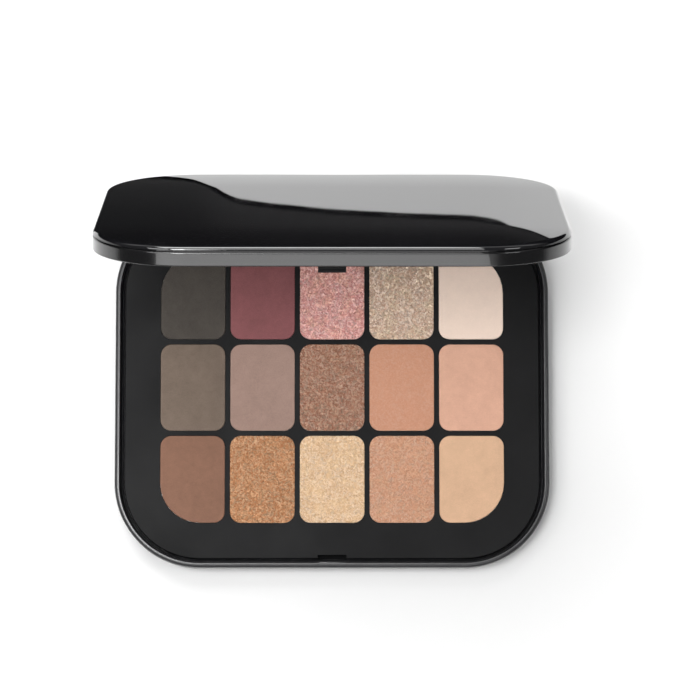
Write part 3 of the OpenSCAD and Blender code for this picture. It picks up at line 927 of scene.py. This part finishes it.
class PALETTE_OT_lid(bpy.types.Operator):
    """Make the lid: inner frame, latch tab, hinge knuckles and crowned cover"""
    bl_idname = "palette.lid"
    bl_label = "Lid"

    def execute(self, context):
        palette = context.scene.palette
        casing, lid, height = palette.casing, palette.lid, Heights(palette)
        corner = height.lid_corner
        recess = lid.mirror_margin - lid.mirror_play
        panel_top = height.panel + lid.panel
        profile, edge = softened(
            [(corner, panel_top), (lid.frame_wall, panel_top), (lid.frame_wall, height.cover),
             (0, height.cover), (0, height.lid), (recess, height.lid), (recess, height.panel),
             (corner, height.panel)],
            [lid.inner_round, lid.inner_round, lid.frame_round, lid.lower_round, lid.face_round,
             lid.inner_round])
        layers = swept(profile, height.lid_width, height.lid_depth, corner)
        parts = [skin("lid_wall", turned_open(layers), edge)]
        parts += barrels("knuckle", casing, height.lid_depth / 2, height.lid - HINGE_PLACE[1], 1,
                         casing.pin_play, [(-casing.knuckle / 2, casing.knuckle / 2)], opened=True)
        place_piece(self.tab(lid, height), "lid", "casing",
                    soft_black("tab_soft", palette.finishes.deck), "lid_frame")
        place_piece(joined("inner_frame", parts), "lid", "casing",
                    lacquer("frame_gloss", palette.finishes.inner, 0.2, 0.75, 0.003, -0.7),
                    "lid_frame")
        profile, edge = self.cover_profile(lid, height)
        layers = swept(profile, height.lid_width, height.lid_depth, corner)
        place_piece(skin("cover", turned_open(layers), edge), "lid", "lid_gloss",
                    lacquer("lid_lacquer", palette.finishes.lid, 0.03, 0.02, 0.0015, 0.95),
                    "lid_cover")
        return {"FINISHED"}

    def cover_profile(self, lid, height):
        """The cover's profile: its height falls with the square of the way from the flat middle
        to the rounded edge, which is an arc that starts at the fall's own slope."""
        corner = height.lid_corner
        span = corner - lid.cover_round
        top = height.cover + lid.cover_rim + lid.crown
        way = np.linspace(0, 0.985, 30)
        crown = np.stack([corner - span * way, top - lid.crown * way ** 2], -1)
        turn = np.linspace(2 * lid.crown / span, np.pi / 2, 15)
        arc = np.stack([lid.cover_round * (1 - np.sin(turn)),
                        height.cover + lid.cover_rim - lid.cover_round * (1 - np.cos(turn))], -1)
        rib_outer = lid.frame_wall + lid.rib_play
        rib_foot = height.panel + lid.panel + lid.rib_play
        ceiling = top - lid.cover
        under, under_edge = softened(
            [arc[-1], (0, height.cover + lid.seam), (lid.seam_depth, height.cover + lid.seam),
             (lid.seam_depth, height.cover), (rib_outer, height.cover), (rib_outer, rib_foot),
             (rib_outer + lid.rib, rib_foot), (rib_outer + lid.rib, ceiling), (corner, ceiling)],
            [lid.seam_round * 0.4] + [lid.seam_round] * 2 + [lid.inner_round] * 4,
            hold=0.01 * MM)
        edge = np.concatenate([np.zeros(len(crown)), np.sin(turn) ** 2 * np.cos(turn) * 2,
                               under_edge[1:]])
        return np.concatenate([crown, arc, under[1:]]), edge

    def tab(self, lid, height):
        """The latch tab, with a half-round nub across its outer face."""
        front, back = height.tab_front, height.tab_front + lid.tab_thick
        turn = np.linspace(np.pi / 2, 1.5 * np.pi, 13)
        nub = np.stack([front + lid.nub * np.cos(turn), height.nub + lid.nub * np.sin(turn)], -1)
        end, root = height.tab_end, height.lid + lid.tab_root
        body = rounded_section([(front, end), (back, end), (back, root), (front, root)],
                               lid.tab_round)
        layers, edge = bar(np.concatenate([body, nub]), -lid.tab / 2, lid.tab / 2, lid.tab_side)
        return skin("latch_tab", turned_open(layers), edge)


class PALETTE_OT_mirror(bpy.types.Operator):
    """Make the mirror with its ground edge and give the tape behind it its finish"""
    bl_idname = "palette.mirror"
    bl_label = "Mirror and tape"

    def execute(self, context):
        palette = context.scene.palette
        lid, height = palette.lid, Heights(palette)
        corner = height.lid_corner - lid.mirror_margin
        low = height.lid + lid.mirror_sink
        profile, edge = softened(
            [(corner, height.tape), (0, height.tape), (0, low), (corner, low)],
            [lid.inner_round / 2, lid.mirror_edge])
        layers = swept(profile, height.lid_width - 2 * lid.mirror_margin,
                       height.lid_depth - 2 * lid.mirror_margin, corner)
        place_piece(skin("mirror", turned_open(layers), edge), "lid", "mirror_glass",
                    silvered("mirror_silver", palette.finishes.mirror), "mirror_glass")
        dress("mirror_tape", sticky("tape", palette.finishes.tape, 3, 0.55))
        return {"FINISHED"}


class PALETTE_OT_pins(bpy.types.Operator):
    """Give the hinge pins their finish"""
    bl_idname = "palette.pins"
    bl_label = "Hinge pins"

    def execute(self, context):
        steel = ground_steel("pin_steel", context.scene.palette.finishes.pin)
        dress("hinge_pin_left", steel)
        dress("hinge_pin_right", steel)
        return {"FINISHED"}


class PALETTE_OT_label(bpy.types.Operator):
    """Give the blank label on the underside its finish"""
    bl_idname = "palette.label"
    bl_label = "Blank label"

    def execute(self, context):
        dress("underside_label", printed_film("label", context.scene.palette.finishes.label))
        return {"FINISHED"}


class PALETTE_OT_stage(bpy.types.Operator):
    """Set the floor, the lights, the cards for reflections and the camera"""
    bl_idname = "palette.stage"
    bl_label = "Stage"

    def execute(self, context):
        stage = context.scene.palette.stage
        self.world(context.scene, stage)
        self.floor()
        self.reflection_card()
        self.dark_back()
        self.pale_wall()
        for name, (turn, rise, *size) in SOFTBOXES.items():
            self.softbox(name, getattr(stage, name), turn, rise, size)
        self.camera(context.scene)
        context.scene.view_settings.view_transform = "Standard"
        return {"FINISHED"}

    def world(self, scene, stage):
        """Soft light from all round, and plain white for the camera."""
        world = bpy.data.worlds.new("studio")
        graph = Graph(world)
        path = graph.node("ShaderNodeLightPath", output="Is Camera Ray")
        light = graph.node("ShaderNodeBackground", {"Strength": stage.world})
        white = graph.node("ShaderNodeBackground", {"Color": (1, 1, 1)})
        either = graph.node("ShaderNodeMixShader", {0: path, 1: light, 2: white})
        graph.node("ShaderNodeOutputWorld", {"Surface": either})
        scene.world = world

    def floor(self):
        """A wide pale floor that takes shadows near the palette and is white further out."""
        span, corner, drop, pale, glow = 6.0, 2.9, 0.2 * MM, 0.745, 0.02
        white_from, white_by = 0.25, 0.6
        ring = levelled(outline(span, span, [[corner] * 4], corner=24), -drop)
        floor = new_object("floor", ring, [list(range(ring.shape[1]))])
        finish = Finish("floor_white")
        path = finish.node("ShaderNodeLightPath", output="Is Camera Ray")
        seen = path + path.other("Is Glossy Ray") + path.other("Is Transmission Ray")
        matt = finish.node("ShaderNodeBsdfDiffuse", {"Color": (pale,) * 3})
        lift = finish.node("ShaderNodeEmission", {"Strength": seen * glow})
        near = finish.node("ShaderNodeAddShader", {0: matt, 1: lift})
        white = finish.node("ShaderNodeEmission", {"Color": (1.0,) * 3, "Strength": 1.0})
        distance = finish.node("ShaderNodeVectorMath", {0: finish.place}, "Value",
                               operation="LENGTH")
        far = distance.between(white_from, white_by) * path
        paint(floor, finish.end(finish.node("ShaderNodeMixShader", {0: far, 1: near, 2: white})))
        return floor

    def reflection_card(self):
        """A faintly glowing dark card on the floor behind the palette, which only reflections show:
        a painted reflection in the lid's cover.

        Its near edge is a line through a few points, averaged over its neighbours. The card is
        that edge, moved back by its depth times the power 1.5 of a number from 0 to 1."""
        near = np.array([(-90, 56.5), (-60, 58.5), (-44, 60.5), (-36, 62.4), (-30.9, 67.2),
                         (-26, 70.4), (-18, 71.8), (0, 73.9), (19, 75.1), (37, 75.8),
                         (45, 76.9), (54.2, 82.4), (60.3, 89.5), (70, 101)]) * MM
        depth, lift, rows, turns, faded = 0.16, 0.4 * MM, 24, 120, 30 * MM
        across = np.linspace(near[0, 0], near[-1, 0], turns)
        edge = np.interp(across, near[:, 0], near[:, 1])
        smooth = np.array([1, 2, 3, 2, 1]) / 9
        edge[2:-2] = np.convolve(edge, smooth, "valid")
        away = np.linspace(0, 1, rows) ** 1.5 * depth
        grid = np.stack(np.broadcast_arrays(across[None, :], edge[None, :] + away[:, None],
                                            lift), -1)
        card = new_object("reflection_card", grid, quads(rows, turns, closed=False), "depth",
                          np.repeat(away, turns))
        finish = Finish("card_black")
        # Painted reflection: the glow is black at the card's near edge, grey just behind it, and
        # fades further back.
        level = finish.node(
            "ShaderNodeValToRGB", {"Fac": finish.value("depth") * (1 / faded)},
            stops=[(0.0, 0.001), (0.04, 0.001), (0.07, 0.05), (0.5, 0.02), (1.0, 0.008)])
        return self.reflected_only(card, finish, level)

    def dark_back(self):
        """A dark sheet on the floor far behind the palette, which only reflections show: a painted
        dark reflection.
        """
        width, depth, corner, away, lift = 5.8, 2.8, 0.1, 1.5, 0.3 * MM
        ring = outline(width, depth, [[corner] * 4], corner=2) + [0, away]
        card = skin("dark_back", levelled(ring, lift))
        # Painted reflection: a near-black glow that only glossy surfaces see.
        return self.reflected_only(card, Finish("back_black"), (0.004,) * 3)

    def pale_wall(self):
        """A glowing sheet two metres behind, black at its foot and bright higher up, seen only in
        reflections: a painted reflection.
        """
        half, foot, top, away, steps = 3.5, 0.02, 1.6, 2.0, 8
        across, height = np.meshgrid(np.linspace(-half, half, steps),
                                     np.linspace(foot, top, steps))
        wall = np.stack([across, np.full(across.shape, away), height], -1)
        card = new_object("pale_wall", wall, quads(steps, steps, closed=False))
        finish = Finish("wall_pale")
        # Painted reflection: the glow grows from black near the floor to full brightness higher up.
        level = finish.mix(finish.height().between(0.2, 1.3), (0.02,) * 3, (1.1,) * 3)
        return self.reflected_only(card, finish, level)

    def reflected_only(self, card, finish, colour):
        """Gives a card its plain glow and hides it from all but reflections."""
        glow = finish.node("ShaderNodeEmission", {"Color": colour, "Strength": 1.0})
        paint(card, finish.end(glow))
        for rays in ("camera", "diffuse", "shadow", "transmission"):
            setattr(card, f"visible_{rays}", False)
        return card

    def softbox(self, name, radiance, turn, rise, size):
        """A rectangular lamp of this radiance, a metre from the middle of the palette and turned
        to it. Turn and rise are its bearing from the right and its height, in degrees."""
        turn, rise = math.radians(turn), math.radians(rise)
        place = Vector((math.cos(rise) * math.cos(turn), math.cos(rise) * math.sin(turn),
                        math.sin(rise)))
        data = bpy.data.lights.new(name, "AREA")
        data.shape = "RECTANGLE"
        data.size, data.size_y = size
        data.energy = radiance * math.pi * size[0] * size[1]
        lamp = bpy.data.objects.new(name, data)
        lamp.location = place
        lamp.rotation_mode = "QUATERNION"
        lamp.rotation_quaternion = (-place).to_track_quat("-Z", "Y")
        bpy.context.scene.collection.objects.link(lamp)

    def camera(self, scene):
        """A long lens, high over the front, turned a little to the right of the middle."""
        elevation, distance, turn = math.radians(83.01), 892.3 * MM, math.radians(0.2974)
        target = Vector((0, 9.767 * MM, 5.4 * MM))
        ahead = Vector((0, math.cos(elevation), -math.sin(elevation)))
        up = Vector((0, math.sin(elevation), math.cos(elevation)))
        across = Vector((1, 0, 0))
        data = bpy.data.cameras.new("camera")
        data.sensor_width = 36
        data.lens = 177.16
        data.clip_start = 0.05
        camera = bpy.data.objects.new("camera", data)
        scene.collection.objects.link(camera)
        camera.location = target - ahead * distance
        sight = ahead * math.cos(turn) + across * math.sin(turn)
        side = across * math.cos(turn) - ahead * math.sin(turn)
        camera.rotation_mode = "QUATERNION"
        camera.rotation_quaternion = Matrix((side, up, -sight)).transposed().to_quaternion()
        scene.camera = camera


class Palette(bpy.types.PropertyGroup):
    """Everything about the palette that a user may change."""
    casing: bpy.props.PointerProperty(type=CasingSizes, name="Casing")
    lid: bpy.props.PointerProperty(type=LidSizes, name="Lid")
    powder: bpy.props.PointerProperty(type=PowderSizes, name="Powders")
    finishes: bpy.props.PointerProperty(type=Finishes, name="Finishes")
    shades: bpy.props.PointerProperty(type=Shades, name="Shades")
    stage: bpy.props.PointerProperty(type=StageSettings, name="Stage")


OPERATORS = (PALETTE_OT_casing, PALETTE_OT_deck, PALETTE_OT_pans, PALETTE_OT_powders,
             PALETTE_OT_lid, PALETTE_OT_mirror, PALETTE_OT_pins, PALETTE_OT_label,
             PALETTE_OT_stage)


def own_properties(group):
    """Names of the properties that this script gave a group."""
    return [key for key in group.bl_rna.properties.keys() if key not in ("rna_type", "name")]


class PALETTE_PT_parts(bpy.types.Panel):
    """Lists the palette's pieces, sizes, colours and lights"""
    bl_idname = "PALETTE_PT_parts"
    bl_label = "Eyeshadow palette"
    bl_space_type = "VIEW_3D"
    bl_region_type = "UI"
    bl_category = "Palette"

    def draw(self, context):
        for operator in OPERATORS:
            self.layout.operator(operator.bl_idname)
        palette = context.scene.palette
        for part in own_properties(palette):
            box = self.layout.box()
            box.label(text=palette.bl_rna.properties[part].name)
            for key in own_properties(getattr(palette, part)):
                box.prop(getattr(palette, part), key)


CLASSES = (CasingSizes, LidSizes, PowderSizes, Finishes, Shades, StageSettings, Palette,
           *OPERATORS, PALETTE_PT_parts)


def register():
    for cls in CLASSES:
        bpy.utils.register_class(cls)
    bpy.types.Scene.palette = bpy.props.PointerProperty(type=Palette)


def unregister():
    del bpy.types.Scene.palette
    for cls in reversed(CLASSES):
        bpy.utils.unregister_class(cls)


def main():
    register()
    for operator in OPERATORS:
        family, name = operator.bl_idname.split(".")
        getattr(getattr(bpy.ops, family), name)()


if __name__ == "__main__":
    main()
